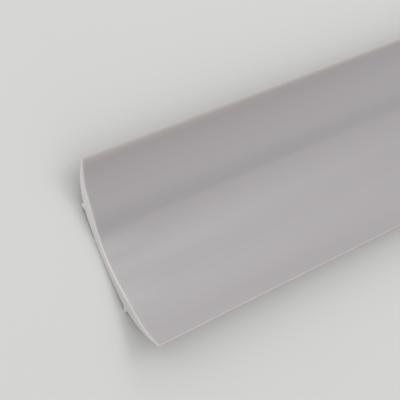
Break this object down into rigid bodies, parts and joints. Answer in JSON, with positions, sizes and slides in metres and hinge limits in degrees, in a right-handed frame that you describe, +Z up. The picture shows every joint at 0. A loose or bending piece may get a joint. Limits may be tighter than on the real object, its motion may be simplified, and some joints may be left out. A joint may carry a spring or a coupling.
{
  "type": "hygienic skirting board",
  "caption": "Coved PVC skirting profile for the joint of wall and floor, with thin curled lips and two hooked snap barbs along its back.",
  "frame": {"origin": "middle of the length, on the floor plane under the middle of the section", "axes": "+X along the length, +Y from the floor edge to the wall edge, +Z up out of the hollow face"},
  "size_m": [2, 0.0704, 0.0124],
  "materials": {
    "pvc": "satin as extruded, light grey, faint die lines along the length"
  },
  "bodies": {
    "root": {"skirting_profile": "pvc"}
  },
  "joints": []
}
